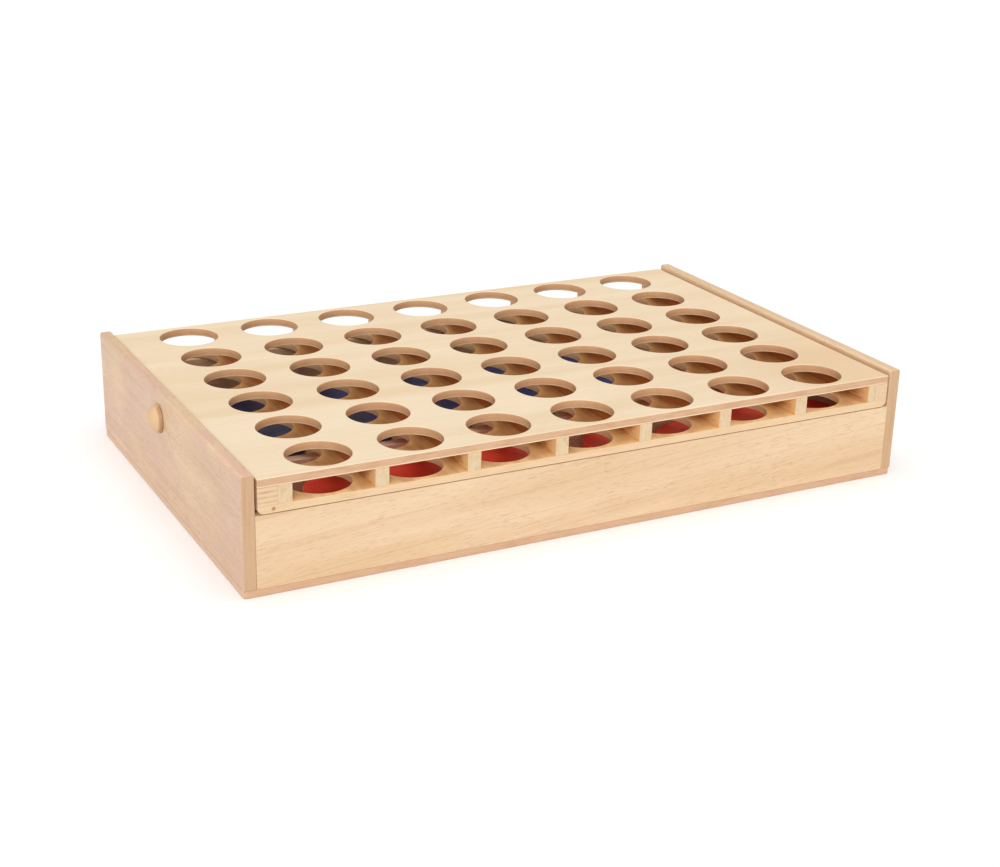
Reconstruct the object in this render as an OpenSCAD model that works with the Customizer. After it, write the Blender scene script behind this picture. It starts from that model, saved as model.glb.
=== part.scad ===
// Four in a row game packed away flat: the playing rack lies over the tray that holds its discs.
// The origin is the middle of the underside. X runs along the front, Y to the back, Z up.

/* [Discs] */
// Diameter of a disc, which is also the distance between two rows of holes
disc_d = 30; // [28:0.5:30.5]
// Thickness of a disc
disc_t = 6; // [4:0.5:6.5]
// Number of discs in each red stack
red_count = 3; // [1:1:3]
// Number of discs in each blue stack
blue_count = 2; // [1:1:3]

/* [Rack] */
// Distance between the middles of neighbouring columns of holes
col_pitch = 37; // [37:0.5:42]
// Distance between the middles of neighbouring strips between the slots
spacer_pitch = 37.5; // [37:0.1:37.5]
// Diameter of the viewing holes
hole_d = 25; // [18:0.5:26]
// Height of the slots between the two plates
slot_h = 7.2; // [7:0.1:9]
// Thickness of the top plate
top_plate_t = 3.5; // [3:0.5:5]
// Thickness of the bottom plate
bottom_plate_t = 3; // [3:0.5:4]
// Width of the strips between the slots
spacer_w = 5.5; // [4:0.5:6]
// Width of the solid block along the left side, the right one being what the slots leave over
side_block_w = 7.75; // [7.75:0.25:12]
// Radius of the two long lower edges
rack_edge_r = 2.5; // [1:0.5:2.5]

/* [Tray] */
// Thickness of the four upright panels
panel_t = 5; // [4:0.5:8]
// Thickness of the bottom board
base_t = 3; // [2:0.5:6]
// Height of the front and back panels above the bottom board
wall_h = 28.5; // [26:0.5:40]
// Thickness of the divider between the red and the blue discs
divider_t = 5; // [3:0.5:5]
// Height of the divider above the bottom board
divider_h = 25; // [20:0.5:26]
// Distance from the middle of the tray to the rear face of the divider
divider_y = 32.5; // [31:0.5:32.5]
// How far the side panels stand above the rack
panel_rise = 2; // [0:0.5:6]
// Gap between the rack and each side panel
side_gap = 1; // [0.5:0.1:2]
// Gap under the rack, where it rests on the front and back panels
rest_gap = 0.3; // [0.2:0.1:0.5]
// Radius of the upright corners of the bottom board
base_corner_r = 1.5; // [1:0.5:4]
// Radius of the upper edges of the side panels
panel_edge_r = 1; // [0.5:0.25:1.5]

/* [Pegs] */
// Diameter of the shank of a peg
peg_d = 6; // [5:0.5:6]
// Radial clearance of a peg in its bore
peg_clearance = 0.05; // [0.02:0.01:0.1]
// Diameter of the head of a peg
peg_head_d = 12; // [10:0.5:14]
// Height of the domed head of a peg
peg_head_h = 4.5; // [2.5:0.5:5]
// How far the tip of a peg stands out of the inside of its side panel
peg_reach = 6.5; // [5:0.5:6.5]
// Height of the peg axis above the bottom board
peg_rise = 33.6; // [33.6:0.1:33.6]
// Distance of the peg axis behind the middle of the tray
peg_y = 6; // [0:1:12]

/* [Hidden] */
$fn = 64;
cols = 7;
rows = 6;
disc_gap = 0.1;
cut = 1;

// Outer sizes
rack_w = cols * col_pitch + spacer_w + 2 * side_block_w;
right_block_w = side_block_w - cols * (spacer_pitch - col_pitch);
depth = rows * disc_d;
inner_w = rack_w + 2 * side_gap;
outer_w = inner_w + 2 * panel_t;

// Heights, from the bottom up
rack_z = base_t + wall_h + rest_gap;
slot_z = rack_z + bottom_plate_t;
top_plate_z = slot_z + slot_h;
side_panel_h = top_plate_z + top_plate_t + panel_rise - base_t;
peg_z = base_t + peg_rise;

// Pegs, their storage notches and the blind bores that hold the rack upright for play
peg_head_gap = 0.1;
peg_tip_chamfer = 0.8;
notch_r = peg_d / 2 + 0.3;
notch_depth = peg_reach - side_gap + 0.6;
play_bore_depth = 5.6;
play_bore_y = depth / 2 - peg_rise;

// Middle of each red stack and of each blue one, where the discs lie loose in the tray
RED_PLACES = [
    [-93, -55], [-60, -56], [-22, -55], [31, -55], [63.5, -61], [94, -55], [124.5, -57]
];
BLUE_PLACES = [
    [-92, 28], [-52, 27], [-12, 29], [29, 27], [68, 28],
    [-90, 61], [-53, 62], [-13, 61], [28, 61], [67, 62],
    [-88, -6]
];
// Sideways shift of each disc in a stack, from the lowest up
SHIFTS = [[0, 0], [0.8, -0.6], [-0.5, 0.7]];

// Box centred on X and Y that stands on z
module slab(size, z) {
    translate([-size[0] / 2, -size[1] / 2, z]) cube(size);
}

// Outline of width w and height h with its two lower corners rounded
module lower_rounded(w, h, r) {
    translate([-w / 2 + r, 0]) square([w - 2 * r, h]);
    translate([-w / 2, r]) square([w, h - r]);
    intersection() {
        translate([-w / 2, 0]) square([w, h]);
        for (side = [-1, 1]) translate([side * (w / 2 - r), r]) circle(r = r);
    }
}

// Bar along the full depth whose end view is the child outline, with its outline's origin at z
module along_depth(z) {
    translate([0, 0, z]) rotate([90, 0, 0]) linear_extrude(depth, center = true) children();
}

// One cylinder through every viewing hole
module hole_field(z, h) {
    for (c = [0 : cols - 1], r = [0 : rows - 1])
        translate([(c - (cols - 1) / 2) * col_pitch, (r - (rows - 1) / 2) * disc_d, z - cut])
            cylinder(d = hole_d, h = h + 2 * cut);
}

// Cylinder along X from x outwards, on the side -1 (left) or 1 (right)
module side_bore(side, x, y, z, r, h) {
    translate([side * x, y, z]) rotate([0, side * 90, 0]) cylinder(r = r, h = h);
}

// Notch in the side of the rack, open below, that drops over the tip of a peg
module peg_notch(side) {
    x = rack_w / 2 - notch_depth;
    side_bore(side, x, peg_y, peg_z, notch_r, notch_depth + cut);
    translate([side > 0 ? x : -x - notch_depth - cut, peg_y - notch_r, rack_z - cut])
        cube([notch_depth + cut, 2 * notch_r, peg_z - rack_z + cut]);
}

module bottom_board() {
    color("burlywood") linear_extrude(base_t) {
        square([outer_w - 2 * base_corner_r, depth], center = true);
        square([outer_w, depth - 2 * base_corner_r], center = true);
        for (sx = [-1, 1], sy = [-1, 1])
            translate([sx * (outer_w / 2 - base_corner_r), sy * (depth / 2 - base_corner_r)])
                circle(r = base_corner_r);
    }
}

// Side panel with rounded upper edges and the bore that its peg runs in
module side_panel(side) {
    color("tan") difference() {
        translate([side * (inner_w + panel_t) / 2, 0, 0]) along_depth(base_t + side_panel_h)
            mirror([0, 1]) lower_rounded(panel_t, side_panel_h, panel_edge_r);
        side_bore(side, inner_w / 2 - cut, peg_y, peg_z, peg_d / 2 + peg_clearance, panel_t + 2 * cut);
    }
}

// Front (-1) or back (1) panel, set between the side panels
module cross_panel(end) {
    color("wheat") translate([0, end * (depth - panel_t) / 2, 0]) slab([inner_w, panel_t, wall_h], base_t);
}

// Low wall along the tray that keeps the red discs in front of the blue ones
module tray_divider() {
    color("tan") translate([0, -divider_y - divider_t / 2, 0]) slab([inner_w, divider_t, divider_h], base_t);
}

module rack_top_plate() {
    color("wheat") difference() {
        slab([rack_w, depth, top_plate_t], top_plate_z);
        hole_field(top_plate_z, top_plate_t);
    }
}

module rack_bottom_plate() {
    color("wheat") difference() {
        along_depth(rack_z) lower_rounded(rack_w, bottom_plate_t, rack_edge_r);
        hole_field(rack_z, bottom_plate_t);
        for (side = [-1, 1]) peg_notch(side);
    }
}

// Storage notch and blind play bore in one side of the rack
module rack_hollows(side) {
    peg_notch(side);
    side_bore(side, rack_w / 2 - play_bore_depth, play_bore_y, slot_z + slot_h / 2,
        peg_d / 2 + peg_clearance, play_bore_depth + cut);
}

// Strip between the plates whose middle is at line k, counted from the left end of the slots
module spacer(k) {
    color("cornsilk") difference() {
        translate([k * spacer_pitch - cols * col_pitch / 2, 0, 0]) slab([spacer_w, depth, slot_h], slot_z);
        if (k == cols) rack_hollows(1);
    }
}

// Solid block outside the end spacer
module side_block(side) {
    w = side < 0 ? side_block_w : right_block_w;
    color("burlywood") difference() {
        translate([side * (rack_w - w) / 2, 0, 0]) slab([w, depth, slot_h], slot_z);
        rack_hollows(side);
    }
}

// Peg with a domed head outside the side panel and a chamfered tip in the notch of the rack
module peg(side) {
    head_r = peg_head_d / 2;
    dome_r = (head_r * head_r + peg_head_h * peg_head_h) / (2 * peg_head_h);
    shank = panel_t + peg_reach + peg_head_gap - peg_tip_chamfer;
    color("tan") translate([side * (outer_w / 2 + peg_head_gap), peg_y, peg_z]) rotate([0, side * 90, 0]) {
        intersection() {
            cylinder(r = head_r, h = peg_head_h);
            translate([0, 0, peg_head_h - dome_r]) sphere(r = dome_r, $fn = 128);
        }
        translate([0, 0, -shank]) cylinder(d = peg_d, h = shank);
        translate([0, 0, -shank - peg_tip_chamfer])
            cylinder(r1 = peg_d / 2 - peg_tip_chamfer, r2 = peg_d / 2, h = peg_tip_chamfer);
    }
}

// Loose stack of discs on the bottom board
module disc_stack(place, count) {
    for (i = [0 : count - 1])
        translate([place[0] + SHIFTS[i][0], place[1] + SHIFTS[i][1], base_t + i * (disc_t + disc_gap)])
            cylinder(d = disc_d, h = disc_t);
}

bottom_board();
side_panel(-1);  // left_side_panel
side_panel(1);  // right_side_panel
cross_panel(-1);  // front_panel
cross_panel(1);  // back_panel
tray_divider();
rack_top_plate();
rack_bottom_plate();
for (k = [1 : cols - 1])
    spacer(k);
spacer(0);  // end_spacer_left
spacer(cols);  // end_spacer_right
side_block(-1);  // side_block_left
side_block(1);  // side_block_right
peg(-1);  // peg_left
peg(1);  // peg_right
for (k = [1 : len(RED_PLACES)])
    color("firebrick") disc_stack(RED_PLACES[k - 1], red_count);
for (k = [1 : len(BLUE_PLACES)])
    color("royalblue") disc_stack(BLUE_PLACES[k - 1], k == len(BLUE_PLACES) ? 1 : blue_count);
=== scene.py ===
import math

import bpy
from mathutils import Matrix, Vector


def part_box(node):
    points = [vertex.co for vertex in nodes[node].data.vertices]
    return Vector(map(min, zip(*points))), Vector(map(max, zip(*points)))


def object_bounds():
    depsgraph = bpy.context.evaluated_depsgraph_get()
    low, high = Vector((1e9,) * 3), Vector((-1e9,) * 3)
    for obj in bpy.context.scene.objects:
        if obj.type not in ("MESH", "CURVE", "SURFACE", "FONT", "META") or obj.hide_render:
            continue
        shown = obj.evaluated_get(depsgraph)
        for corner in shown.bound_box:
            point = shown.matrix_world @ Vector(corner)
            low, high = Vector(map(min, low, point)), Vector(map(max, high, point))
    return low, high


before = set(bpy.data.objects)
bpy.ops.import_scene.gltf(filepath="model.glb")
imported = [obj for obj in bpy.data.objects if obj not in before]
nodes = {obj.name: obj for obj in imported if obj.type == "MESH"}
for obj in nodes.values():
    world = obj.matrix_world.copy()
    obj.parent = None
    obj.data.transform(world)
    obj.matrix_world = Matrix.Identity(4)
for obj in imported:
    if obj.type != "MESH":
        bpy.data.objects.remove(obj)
cad_low, cad_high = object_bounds()

MM = 0.001

# Camera: it looks at TARGET from DISTANCE away. Azimuth 0 looks along +Y.
TARGET = Vector((-40.75, -83.5, 45.17)) * MM
DISTANCE = 656.0 * MM
AZIMUTH = math.radians(-27.99)
ELEVATION = math.radians(20.95)
ROLL = math.radians(1.49)
LENS_MM = 62.52

# Colours of the woods and paints, as sRGB numbers from 0 to 255
BIRCH_FACE = (243, 222, 190)
BIRCH_SHADE = (236, 210, 172)
BIRCH_WARM = (230, 196, 154)
PLY_CORE = (210, 171, 136)
PLY_CORE_DARK = (192, 146, 110)
# Walls of holes: partly the ply core's own tone, partly painted shade and warm bounce light
HOLE_WALL_AND_PAINTED_SHADE = (221, 167, 115)
# Painted light at the mouths of the slots
SLOT_MOUTH_PAINTED_LIGHT = (246, 206, 148)
BOARD_EDGE = (210, 170, 137)
BOARD_EDGE_DARK = (196, 153, 120)
BOARD_END = (220, 184, 154)
BEECH_FACE = (231, 200, 162)
BEECH_SHADE = (219, 184, 144)
BEECH_PINK = (219, 181, 157)
PALE_FACE = (230, 202, 168)
PALE_SHADE = (220, 187, 147)
RACK_EDGE = (226, 196, 158)
RACK_EDGE_DARK = (216, 180, 138)
CREAM_FACE = (218, 194, 157)
CREAM_SHADE = (204, 172, 132)
# Slot sides of the spacers and their darker tone: partly the wood's own tone, partly painted shade inside
# the slots
INNER_WOOD_AND_PAINTED_SHADE = (208, 134, 60)
INNER_SHADE = (178, 106, 48)
# Painted shade deep inside the slots, on the plates' faces towards them
INNER_PLATE_PAINTED_SHADE = (231, 179, 114)
FLECK = (176, 122, 80)
BLOCK_FACE = (221, 191, 154)
BLOCK_LINE = (196, 142, 100)
END_GRAIN = (200, 165, 127)
KNOT = (172, 108, 48)
# Peg head: painted light on its front half, and a painted shadow round its rim
PEG_PAINTED_LIGHT_TAN = (216, 180, 138)
PEG_RIM_PAINTED_SHADOW = (158, 114, 74)
# Tray floor, the board's faces: partly the board's own tone, partly painted shade and warm bounce light of
# the dim tray
TRAY_FLOOR_AND_PAINTED_SHADE = (228, 173, 114)
TRAY_FLOOR_SHADE = (212, 151, 94)
RED_WORN = (255, 150, 110)
BLUE_WORN = (112, 128, 178)
RED = (250, 84, 60)
RED_DARK = (228, 61, 44)
BLUE = (42, 76, 150)
BLUE_DARK = (22, 44, 100)
FLOOR_WHITE = (250, 250, 250)

# Varnish: roughness between the fibres and on them
VARNISH_ROUGHNESS = (0.39, 0.55)

# Modifiers of every CAD node
WELD_MM = 0.01
FLAT_DEGREES = 1
EDGE_DEGREES = 40

# Veneers of the plates and the knot in the lower one, in mm
TOP_VENEER = 0.55
UNDER_VENEER = 0.5
BOARD_VENEER = 0.15
KNOT_FROM_LEFT = 6.0
KNOT_HEIGHT = 1.6

# Slight turn of the grain in the plates and in the front panel
PLATE_GRAIN_TURN = (0, 0, math.radians(1.5))
FRONT_GRAIN_TURN = (0, math.radians(5), 0)

# Rounding of the edges in mm, which also sets how wide the seams look
ROUND_TOP = 0.35
ROUND_UNDER = 0.25
ROUND_BOARD = 0.4
ROUND_SIDES = 0.3
ROUND_FRONT = 0.12
ROUND_BACK = 0.4
ROUND_STRIPS = 0.15
ROUND_BLOCKS = 0.2
ROUND_PEGS = 0.3
ROUND_DISCS = 0.9

# Studio: brightness of the white world, and for each sun its direction, strength and width in degrees
WORLD_STRENGTH = 0.45
KEY_SUN = ((-0.45, -0.78, 0.45), 1.45, 25)
OVERHEAD_SUN = ((-0.05, -0.12, 1.0), 1.4, 60)
FLOOR_HALF_WIDTH = 60.0


def linear(rgb, alpha=1.0):
    """Linear colour from sRGB numbers."""
    def one(v):
        v /= 255.0
        return v / 12.92 if v <= 0.04045 else ((v + 0.055) / 1.055) ** 2.4
    return (one(rgb[0]), one(rgb[1]), one(rgb[2]), alpha)


class Graph:
    """A material's node tree, built by short calls that take and give sockets."""

    def __init__(self, name):
        self.material = bpy.data.materials.new(name)
        self.material.use_nodes = True
        self.tree = self.material.node_tree
        self.tree.nodes.clear()
        self.shader = self.tree.nodes.new("ShaderNodeBsdfPrincipled")
        output = self.tree.nodes.new("ShaderNodeOutputMaterial")
        self.tree.links.new(self.shader.outputs["BSDF"], output.inputs["Surface"])
        source = self.tree.nodes.new("ShaderNodeTexCoord")
        self.place = source.outputs["Object"]
        self.normal = source.outputs["Normal"]

    def put(self, socket, value):
        if isinstance(value, bpy.types.NodeSocket):
            self.tree.links.new(value, socket)
        else:
            socket.default_value = value

    def set(self, **values):
        for name, value in values.items():
            self.put(self.shader.inputs[name.replace("_", " ")], value)

    def math(self, operation, a, b=0.0, clamp=False):
        node = self.tree.nodes.new("ShaderNodeMath")
        node.operation = operation
        node.use_clamp = clamp
        self.put(node.inputs[0], a)
        self.put(node.inputs[1], b)
        return node.outputs[0]

    def axis(self, vector, index):
        node = self.tree.nodes.new("ShaderNodeSeparateXYZ")
        self.put(node.inputs[0], vector)
        return node.outputs[index]

    def distance(self, point):
        """Distance from the point to the place that is shaded."""
        node = self.tree.nodes.new("ShaderNodeVectorMath")
        node.operation = "DISTANCE"
        self.put(node.inputs[0], self.place)
        node.inputs[1].default_value = point
        return node.outputs["Value"]

    def mapping(self, vector, scale, turn=(0, 0, 0), shift=(0, 0, 0)):
        node = self.tree.nodes.new("ShaderNodeMapping")
        self.put(node.inputs["Vector"], vector)
        node.inputs["Location"].default_value = shift
        node.inputs["Rotation"].default_value = turn
        node.inputs["Scale"].default_value = scale
        return node.outputs[0]

    def noise(self, vector, scale=1.0, detail=2.0, rough=0.5, distortion=0.0):
        node = self.tree.nodes.new("ShaderNodeTexNoise")
        self.put(node.inputs["Vector"], vector)
        node.inputs["Scale"].default_value = scale
        node.inputs["Detail"].default_value = detail
        node.inputs["Roughness"].default_value = rough
        node.inputs["Distortion"].default_value = distortion
        return node.outputs[0]

    def wave(self, vector, scale, distortion, detail=2.0, rough=0.5, along="X"):
        node = self.tree.nodes.new("ShaderNodeTexWave")
        node.bands_direction = along
        self.put(node.inputs["Vector"], vector)
        node.inputs["Scale"].default_value = scale
        node.inputs["Distortion"].default_value = distortion
        node.inputs["Detail"].default_value = detail
        node.inputs["Detail Roughness"].default_value = rough
        return node.outputs["Fac"]

    def smooth(self, value, low, high, to_low=0.0, to_high=1.0):
        node = self.tree.nodes.new("ShaderNodeMapRange")
        node.interpolation_type = "SMOOTHSTEP"
        self.put(node.inputs["Value"], value)
        node.inputs["From Min"].default_value = low
        node.inputs["From Max"].default_value = high
        node.inputs["To Min"].default_value = to_low
        node.inputs["To Max"].default_value = to_high
        return node.outputs[0]

    def mix(self, factor, a, b):
        node = self.tree.nodes.new("ShaderNodeMix")
        node.data_type = "RGBA"
        self.put(node.inputs[0], factor)
        self.put(node.inputs[6], a)
        self.put(node.inputs[7], b)
        return node.outputs[2]

    def bump(self, height, distance, strength=1.0, normal=None):
        node = self.tree.nodes.new("ShaderNodeBump")
        node.inputs["Strength"].default_value = strength
        node.inputs["Distance"].default_value = distance
        self.put(node.inputs["Height"], height)
        if normal is not None:
            self.put(node.inputs["Normal"], normal)
        return node.outputs[0]


def stretch(along, run, across):
    """Mapping scale whose frequency is run along the grain and across at right angles, per metre."""
    return tuple(run if i == along else across for i in range(3))


def facing(g, axis):
    """1 on faces whose normal is along the axis, 0 on the others."""
    return g.smooth(g.math("ABSOLUTE", g.axis(g.normal, axis)), 0.75, 0.9)


def both(g, a, b):
    """1 where both masks are 1."""
    return g.math("MULTIPLY", a, b)


def between(g, value, low, high, soft):
    """1 where the value lies between low and high, with soft ends."""
    above_low = g.smooth(value, low - soft, low + soft)
    below_high = g.smooth(value, high - soft, high + soft, 1.0, 0.0)
    return both(g, above_low, below_high)


def varnished(g, fibres):
    """Clear satin varnish over wood whose fibres give a fine relief."""
    cloud = g.noise(g.place, 70.0, 2.0)
    mixed = g.math("ADD", g.math("MULTIPLY", fibres, 0.5), g.math("MULTIPLY", cloud, 0.5))
    g.set(Roughness=g.smooth(mixed, 0.3, 0.7, *VARNISH_ROUGHNESS))
    g.set(Specular_IOR_Level=0.35, Coat_Weight=0.1, Coat_Roughness=0.34)
    g.set(Normal=g.bump(fibres, 0.07 * MM, 0.6))


def grain(g, along, face, shade, blush=None, lines=0.35, flecks=0.5, fine=0.14, turn=(0, 0, 0)):
    """Colour and relief of long grain: broad tone, a blush, growth lines, fibres and short dark dashes."""
    place = g.mapping(g.place, (1, 1, 1), turn)
    tone = g.noise(g.mapping(place, stretch(along, 5, 45)), 1.0, 3.0, 0.55, 0.6)
    colour = g.mix(g.smooth(tone, 0.32, 0.7), linear(face), linear(shade))
    if blush is not None:
        cloud = g.noise(g.mapping(place, stretch(along, 16, 34), shift=(3, 1, 2)), 1.0, 3.0, 0.6, 0.4)
        leftward = g.smooth(g.axis(g.place, 0), cad_low.x * 0.5, cad_high.x * 0.8, 1.0, 0.25)
        colour = g.mix(both(g, g.smooth(cloud, 0.4, 0.62, 0.1, 0.9), leftward), colour, linear(blush))
    rings = g.noise(g.mapping(place, stretch(along, 5, 330)), 1.0, 3.0, 0.6, 0.9)
    colour = g.mix(g.smooth(rings, 0.5, 0.72, 0.0, lines * 0.5), colour, linear(FLECK))
    fibres = g.noise(g.mapping(place, stretch(along, 60, 2100)), 1.0, 2.0, 0.6)
    colour = g.mix(g.smooth(fibres, 0.38, 0.78, 0.0, fine), colour, linear(FLECK))
    sway = g.noise(g.mapping(place, stretch(along, 40, 70)), 1.0, 2.0)
    dashes = g.noise(g.mapping(place, stretch(along, 240, 2000)), 1.0, 1.0, 0.4, 0.7)
    dashed = both(g, g.smooth(dashes, 0.54, 0.7, 0.0, flecks), g.smooth(sway, 0.3, 0.62, 0.35, 1.0))
    colour = g.mix(dashed, colour, linear(FLECK))
    relief = g.math("SUBTRACT", fibres, g.math("MULTIPLY", dashed, 0.7))
    return colour, relief


def end_grain(g, colour, along, tint=END_GRAIN):
    """Darker, dotted and faintly streaked colour on the faces that cut across the grain."""
    dots = g.noise(g.place, 2300.0, 1.0)
    streaks = g.noise(g.mapping(g.place, (620, 620, 45)), 1.0, 2.0, 0.6)
    cut = g.mix(g.smooth(dots, 0.4, 0.75, 0.0, 0.3), linear(tint), linear(FLECK))
    cut = g.mix(g.smooth(streaks, 0.42, 0.7, 0.0, 0.3), cut, linear(FLECK))
    return g.mix(g.math("MULTIPLY", facing(g, along), 0.9), colour, cut)


def solid_wood(name, along, face, shade, tint=END_GRAIN, **options):
    """Solid board with its grain along one axis."""
    g = Graph(name)
    colour, relief = grain(g, along, face, shade, **options)
    g.set(Base_Color=end_grain(g, colour, along, tint))
    varnished(g, relief)
    return g.material


def inward(g):
    """How far a place lies behind the front of the object, or before its back."""
    return g.math("SUBTRACT", cad_high.y, g.math("ABSOLUTE", g.axis(g.place, 1)))


def core_edge(g, height, low, high, core, core_dark, veneer, rim, wall_painted_shade):
    """Cut edge of a plate: a mottled core between two thin pale veneers, and on the walls of holes a warmer
    colour that is partly the core's tone and partly painted shade and bounce light.
    """
    fibre = g.noise(g.mapping(g.place, (120, 120, 2600)), 1.0, 3.0, 0.6)
    mottled = g.noise(g.mapping(g.place, (90, 90, 300)), 1.0, 3.0, 0.6)
    amount = g.smooth(g.math("ADD", fibre, mottled), 0.8, 1.35, 0.0, 0.8)
    cut = g.mix(amount, linear(core), linear(core_dark))
    # Painted shade and bounce light: walls away from the front and back edges, the walls of holes, turn a
    # warmer orange
    cut = g.mix(g.smooth(inward(g), 0.4 * MM, 3.0 * MM, 0.0, wall_painted_shade), cut, linear(HOLE_WALL_AND_PAINTED_SHADE))
    return g.mix(between(g, height, low + veneer, high - veneer * 0.5, 0.12 * MM), linear(rim), cut)


def plywood(name, low, high, core, core_dark, veneer, rim, face, shade,
            slot_side=0.0, knot=None, ends=None):
    """Plate from low to high: pale faces, and edges with a darker core between two veneers.

    slot_side is the Z direction of the face towards the slots, with painted light near their mouths and
    painted shade deeper in, knot the middle of a knot and ends another colour for the edges that face along
    X.
    """
    g = Graph(name)
    colour, relief = grain(g, 0, face, shade, lines=0.09, flecks=0.08, fine=0.06,
                           turn=PLATE_GRAIN_TURN)
    corner = g.distance((cad_high.x, cad_low.y, high))
    cloud = g.noise(g.mapping(g.place, (14, 30, 30)), 1.0, 2.0)
    warm = g.math("SUBTRACT", corner, g.math("MULTIPLY", cloud, 40 * MM))
    colour = g.mix(g.smooth(warm, 10 * MM, 70 * MM, 0.75, 0.0), colour, linear(BIRCH_WARM))
    height = g.axis(g.place, 2)
    wall_painted_shade = 0.0
    if slot_side:
        wall_painted_shade = 0.45
        # Faces towards the slots: painted light near the slot mouth, fading to painted shade deeper in,
        # with patches of darker painted shade
        inner = g.smooth(g.math("MULTIPLY", g.axis(g.normal, 2), slot_side), 0.3, 0.6)
        rough = g.noise(g.mapping(g.place, (250, 40, 40)), 1.0, 3.0, 0.6)
        depth = g.math("SUBTRACT", inward(g), g.math("MULTIPLY", rough, 12 * MM))
        slot_light_and_shade = g.mix(g.smooth(depth, -4 * MM, 9 * MM), linear(SLOT_MOUTH_PAINTED_LIGHT), linear(INNER_PLATE_PAINTED_SHADE))
        colour = g.mix(inner, colour, g.mix(g.smooth(rough, 0.4, 0.7, 0.0, 0.4), slot_light_and_shade, linear(INNER_SHADE)))
    edge = core_edge(g, height, low, high, core, core_dark, veneer, rim, wall_painted_shade)
    if ends is not None:
        edge = g.mix(facing(g, 0), edge, linear(ends))
    if knot is not None:
        edge = g.mix(g.smooth(g.distance(knot), 0.35 * MM, 1.1 * MM, 0.85, 0.0), edge, linear(KNOT))
    g.set(Base_Color=g.mix(facing(g, 2), edge, colour))
    varnished(g, relief)
    return g.material


def strip_wood():
    """Spacers: cream ends, and warm sides that face the slots, partly the wood's tone and partly painted
    shade, paler with painted light near the slot mouths.
    """
    g = Graph("pale_wood")
    # The sides' warm grain is partly the wood's tone and partly painted shade inside the slots
    colour, relief = grain(g, 1, INNER_WOOD_AND_PAINTED_SHADE, INNER_SHADE, lines=0.5, flecks=0.4)
    pores = g.noise(g.mapping(g.place, (700, 700, 260)), 1.0, 3.0, 0.6)
    end = g.mix(g.smooth(pores, 0.4, 0.75, 0.0, 0.9), linear(CREAM_FACE), linear(CREAM_SHADE))
    # Painted light: the sides turn paler near the front and back mouths of the slots
    rough = g.noise(g.mapping(g.place, (300, 160, 900)), 1.0, 2.0, 0.6)
    depth = g.math("SUBTRACT", inward(g), g.math("MULTIPLY", rough, 14 * MM))
    colour = g.mix(g.smooth(depth, -5 * MM, 6 * MM, 0.85, 0.0), colour, linear(SLOT_MOUTH_PAINTED_LIGHT))
    g.set(Base_Color=g.mix(facing(g, 1), colour, end))
    varnished(g, relief)
    return g.material


def block_wood():
    """Side blocks, whose front and back ends show wavy layers, fainter towards the right."""
    g = Graph("block_wood")
    colour, relief = grain(g, 1, BLOCK_FACE, BEECH_SHADE, lines=0.4)
    waves = g.wave(g.mapping(g.place, (190, 190, 1000)), 0.16, 2.4, 2.0, 0.5, "Z")
    strength = g.noise(g.mapping(g.place, (200, 200, 500)), 1.0, 2.0)
    leftward = g.smooth(g.axis(g.place, 0), cad_low.x, cad_high.x, 1.0, 0.4)
    layers = both(g, g.smooth(waves, 0.42, 0.9), g.smooth(strength, 0.3, 0.65, 0.15, 0.7))
    layers = both(g, layers, leftward)
    layered = g.mix(layers, linear(BLOCK_FACE), linear(BLOCK_LINE))
    g.set(Base_Color=g.mix(facing(g, 1), colour, layered))
    varnished(g, relief)
    return g.material


def peg_wood():
    """Turned peg: grain along its axis, a tan front half of painted light, and a dark line of painted
    shadow round the rim of its head.
    """
    g = Graph("peg_wood")
    colour, relief = grain(g, 0, BEECH_PINK, BEECH_SHADE, lines=0.3, flecks=0.2)
    low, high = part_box("peg_left")
    middle = (low + high) / 2
    rim = (high.y - low.y) / 2
    ahead = g.math("SUBTRACT", middle.y, g.axis(g.place, 1))
    above = g.math("SUBTRACT", g.axis(g.place, 2), middle.z)
    # Painted light: the front half of the head is tan
    colour = g.mix(g.smooth(ahead, -2.0 * MM, 1.0 * MM, 0.0, 0.9), colour, linear(PEG_PAINTED_LIGHT_TAN))
    # Painted shadow: a dark ring at the rim of the head, strongest at the front where the head meets the
    # panel
    radius = g.math("SQRT", g.math("ADD", g.math("POWER", ahead, 2.0), g.math("POWER", above, 2.0)))
    ring = g.smooth(radius, rim - 1.0 * MM, rim - 0.3 * MM, 0.0, 0.8)
    dark = both(g, ring, g.smooth(ahead, 0.0, 3.0 * MM, 0.25, 1.0))
    g.set(Base_Color=g.mix(dark, colour, linear(PEG_RIM_PAINTED_SHADOW)))
    varnished(g, relief)
    return g.material


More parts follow.
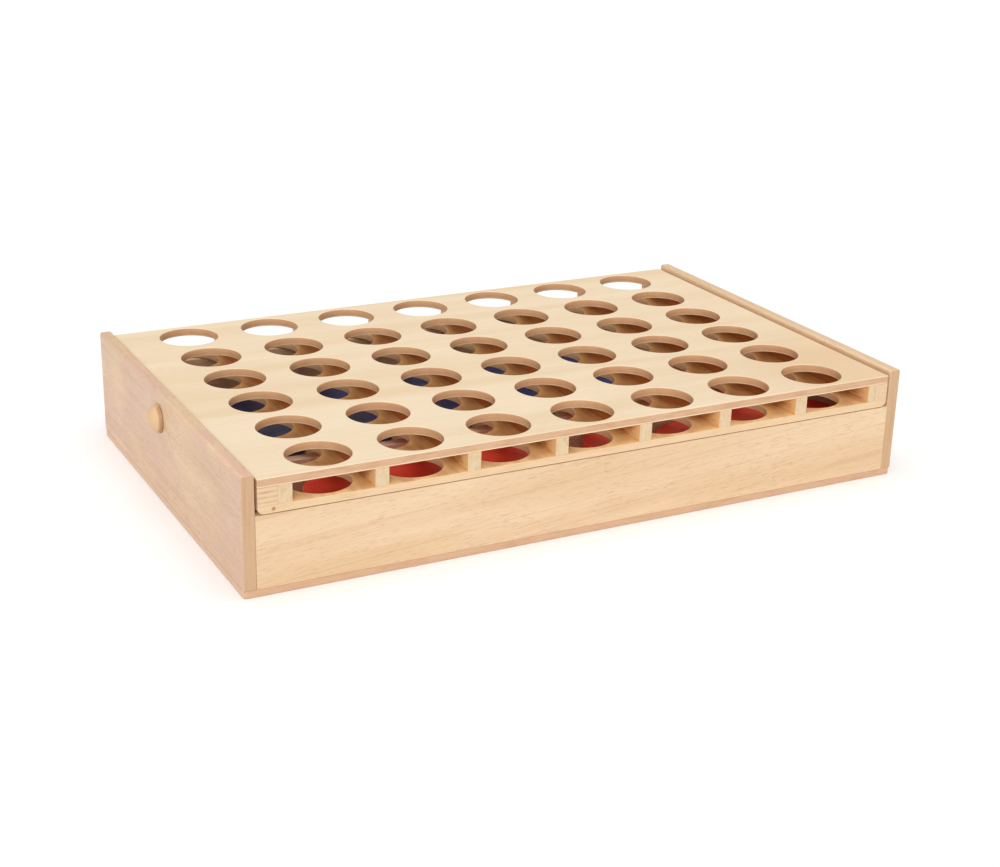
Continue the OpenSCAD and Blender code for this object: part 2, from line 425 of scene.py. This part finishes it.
def lacquer(name, face, shade, worn):
    """Coloured lacquer on turned wood: slight clouds, brush marks, small scuffs and paler worn rims."""
    g = Graph(name)
    cloud = g.noise(g.place, 60.0, 3.0)
    fibres = g.noise(g.mapping(g.place, (60, 900, 900)), 1.0, 2.0)
    scuffs = g.smooth(g.noise(g.place, 900.0, 3.0, 0.7), 0.6, 0.72)
    colour = g.mix(g.smooth(cloud, 0.35, 0.7), linear(face), linear(shade))
    colour = g.mix(g.smooth(fibres, 0.45, 0.75, 0.0, 0.25), colour, linear(shade))
    tilt = g.math("ABSOLUTE", g.axis(g.normal, 2))
    rubbed = g.smooth(g.noise(g.place, 420.0, 3.0, 0.7), 0.42, 0.62, 0.1, 0.7)
    rim = both(g, between(g, tilt, 0.3, 0.9, 0.12), rubbed)
    colour = g.mix(rim, colour, linear(worn))
    colour = g.mix(g.math("MULTIPLY", scuffs, 0.18), colour, linear(worn))
    g.set(Base_Color=colour)
    g.set(Roughness=g.math("ADD", g.smooth(cloud, 0.3, 0.7, 0.3, 0.42), g.math("MULTIPLY", scuffs, 0.14)))
    g.set(Coat_Weight=0.2, Coat_Roughness=0.22)
    g.set(Normal=g.bump(fibres, 0.06 * MM, 0.45))
    return g.material


def give(node, material, bevel, segments=3):
    """A CAD node's finish: its own material, flat faces without inner edges, and softly rounded edges."""
    piece = nodes[node]
    piece.data.materials.clear()
    piece.data.materials.append(material)
    weld = piece.modifiers.new("weld", "WELD")
    weld.merge_threshold = WELD_MM * MM
    flat = piece.modifiers.new("flat_faces", "DECIMATE")
    flat.decimate_type = "DISSOLVE"
    flat.angle_limit = math.radians(FLAT_DEGREES)
    edge = piece.modifiers.new("rounded_edges", "BEVEL")
    edge.width = bevel * MM
    edge.segments = segments
    edge.limit_method = "ANGLE"
    edge.angle_limit = math.radians(EDGE_DEGREES)
    edge.harden_normals = True
    edge.use_clamp_overlap = False
    edge.loop_slide = False


def finish_wood():
    top_low, top_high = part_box("rack_top_plate")
    under_low, under_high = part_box("rack_bottom_plate")
    board_low, board_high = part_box("bottom_board")
    knot = (under_low.x + KNOT_FROM_LEFT * MM, under_low.y, under_low.z + KNOT_HEIGHT * MM)
    top = plywood("top_ply", top_low.z, top_high.z, PLY_CORE, PLY_CORE_DARK, TOP_VENEER * MM,
                  BIRCH_SHADE, BIRCH_FACE, BIRCH_SHADE, slot_side=-1.0)
    under = plywood("rack_ply", under_low.z, under_high.z, RACK_EDGE, RACK_EDGE_DARK, UNDER_VENEER * MM,
                    BIRCH_WARM, BIRCH_SHADE, BIRCH_WARM, slot_side=1.0, knot=knot)
    # The board's faces carry the tray floor colour with its painted shade
    board = plywood("board_ply", board_low.z, board_high.z, BOARD_EDGE, BOARD_EDGE_DARK, BOARD_VENEER * MM,
                    BOARD_EDGE, TRAY_FLOOR_AND_PAINTED_SHADE, TRAY_FLOOR_SHADE, ends=BOARD_END)
    beech = solid_wood("beech", 1, BEECH_FACE, BEECH_SHADE, blush=BEECH_PINK, lines=0.35, flecks=0.4)
    beech_across = solid_wood("beech_across", 0, BEECH_FACE, BEECH_SHADE, blush=BEECH_PINK, lines=0.3)
    pale = solid_wood("pale_beech", 0, PALE_FACE, PALE_SHADE, lines=0.45, flecks=0.3,
                      turn=FRONT_GRAIN_TURN)
    give("rack_top_plate", top, ROUND_TOP)
    give("rack_bottom_plate", under, ROUND_UNDER)
    give("bottom_board", board, ROUND_BOARD)
    for node in ("left_side_panel", "right_side_panel"):
        give(node, beech, ROUND_SIDES)
    give("front_panel", pale, ROUND_FRONT)
    for node in ("back_panel", "tray_divider"):
        give(node, beech_across, ROUND_BACK)
    strips = strip_wood()
    for node in nodes:
        if "spacer" in node:
            give(node, strips, ROUND_STRIPS)
    blocks = block_wood()
    pegs = peg_wood()
    for side in ("left", "right"):
        give("side_block_" + side, blocks, ROUND_BLOCKS)
        give("peg_" + side, pegs, ROUND_PEGS)


def finish_discs():
    red = lacquer("red_paint", RED, RED_DARK, RED_WORN)
    blue = lacquer("blue_paint", BLUE, BLUE_DARK, BLUE_WORN)
    for node in nodes:
        if node.startswith("red_discs"):
            give(node, red, ROUND_DISCS, segments=4)
        if node.startswith("blue_discs"):
            give(node, blue, ROUND_DISCS, segments=4)


def make_camera():
    back = Vector((math.sin(AZIMUTH) * math.cos(ELEVATION),
                   -math.cos(AZIMUTH) * math.cos(ELEVATION), math.sin(ELEVATION)))
    camera = bpy.data.objects.new("camera", bpy.data.cameras.new("camera"))
    camera.data.lens = LENS_MM
    camera.data.sensor_width = 36.0
    camera.data.clip_start, camera.data.clip_end = 0.01, 200.0
    camera.rotation_mode = "QUATERNION"
    level = Vector((0, 0, 1)).cross(back).normalized()
    upright = back.cross(level)
    right = math.cos(ROLL) * level + math.sin(ROLL) * upright
    up = back.cross(right)
    camera.matrix_world = Matrix((
        (right.x, up.x, back.x, TARGET.x + back.x * DISTANCE),
        (right.y, up.y, back.y, TARGET.y + back.y * DISTANCE),
        (right.z, up.z, back.z, TARGET.z + back.z * DISTANCE),
        (0, 0, 0, 1),
    ))
    bpy.context.scene.collection.objects.link(camera)
    bpy.context.scene.camera = camera


def sun(name, towards, strength, spread):
    """Distant soft light that comes from the given direction."""
    lamp = bpy.data.lights.new(name, "SUN")
    lamp.energy = strength
    lamp.angle = math.radians(spread)
    light = bpy.data.objects.new(name, lamp)
    light.rotation_mode = "QUATERNION"
    light.rotation_quaternion = (-Vector(towards)).to_track_quat("-Z", "Y")
    bpy.context.scene.collection.objects.link(light)


def make_studio():
    mesh = bpy.data.meshes.new("floor")
    half = FLOOR_HALF_WIDTH
    corners = [(-half, -half, 0), (half, -half, 0), (half, half, 0), (-half, half, 0)]
    mesh.from_pydata(corners, [], [(0, 1, 2, 3)])
    floor = bpy.data.objects.new("floor", mesh)
    bpy.context.scene.collection.objects.link(floor)
    g = Graph("floor")
    g.set(Base_Color=linear(FLOOR_WHITE), Roughness=0.9)
    mesh.materials.append(g.material)

    world = bpy.data.worlds.new("studio")
    bpy.context.scene.world = world
    world.use_nodes = True
    background = world.node_tree.nodes["Background"]
    background.inputs["Color"].default_value = (1.0, 1.0, 1.0, 1.0)
    background.inputs["Strength"].default_value = WORLD_STRENGTH
    sun("key", *KEY_SUN)
    sun("overhead", *OVERHEAD_SUN)
    bpy.context.scene.view_settings.view_transform = "Standard"


finish_wood()
finish_discs()
make_camera()
make_studio()
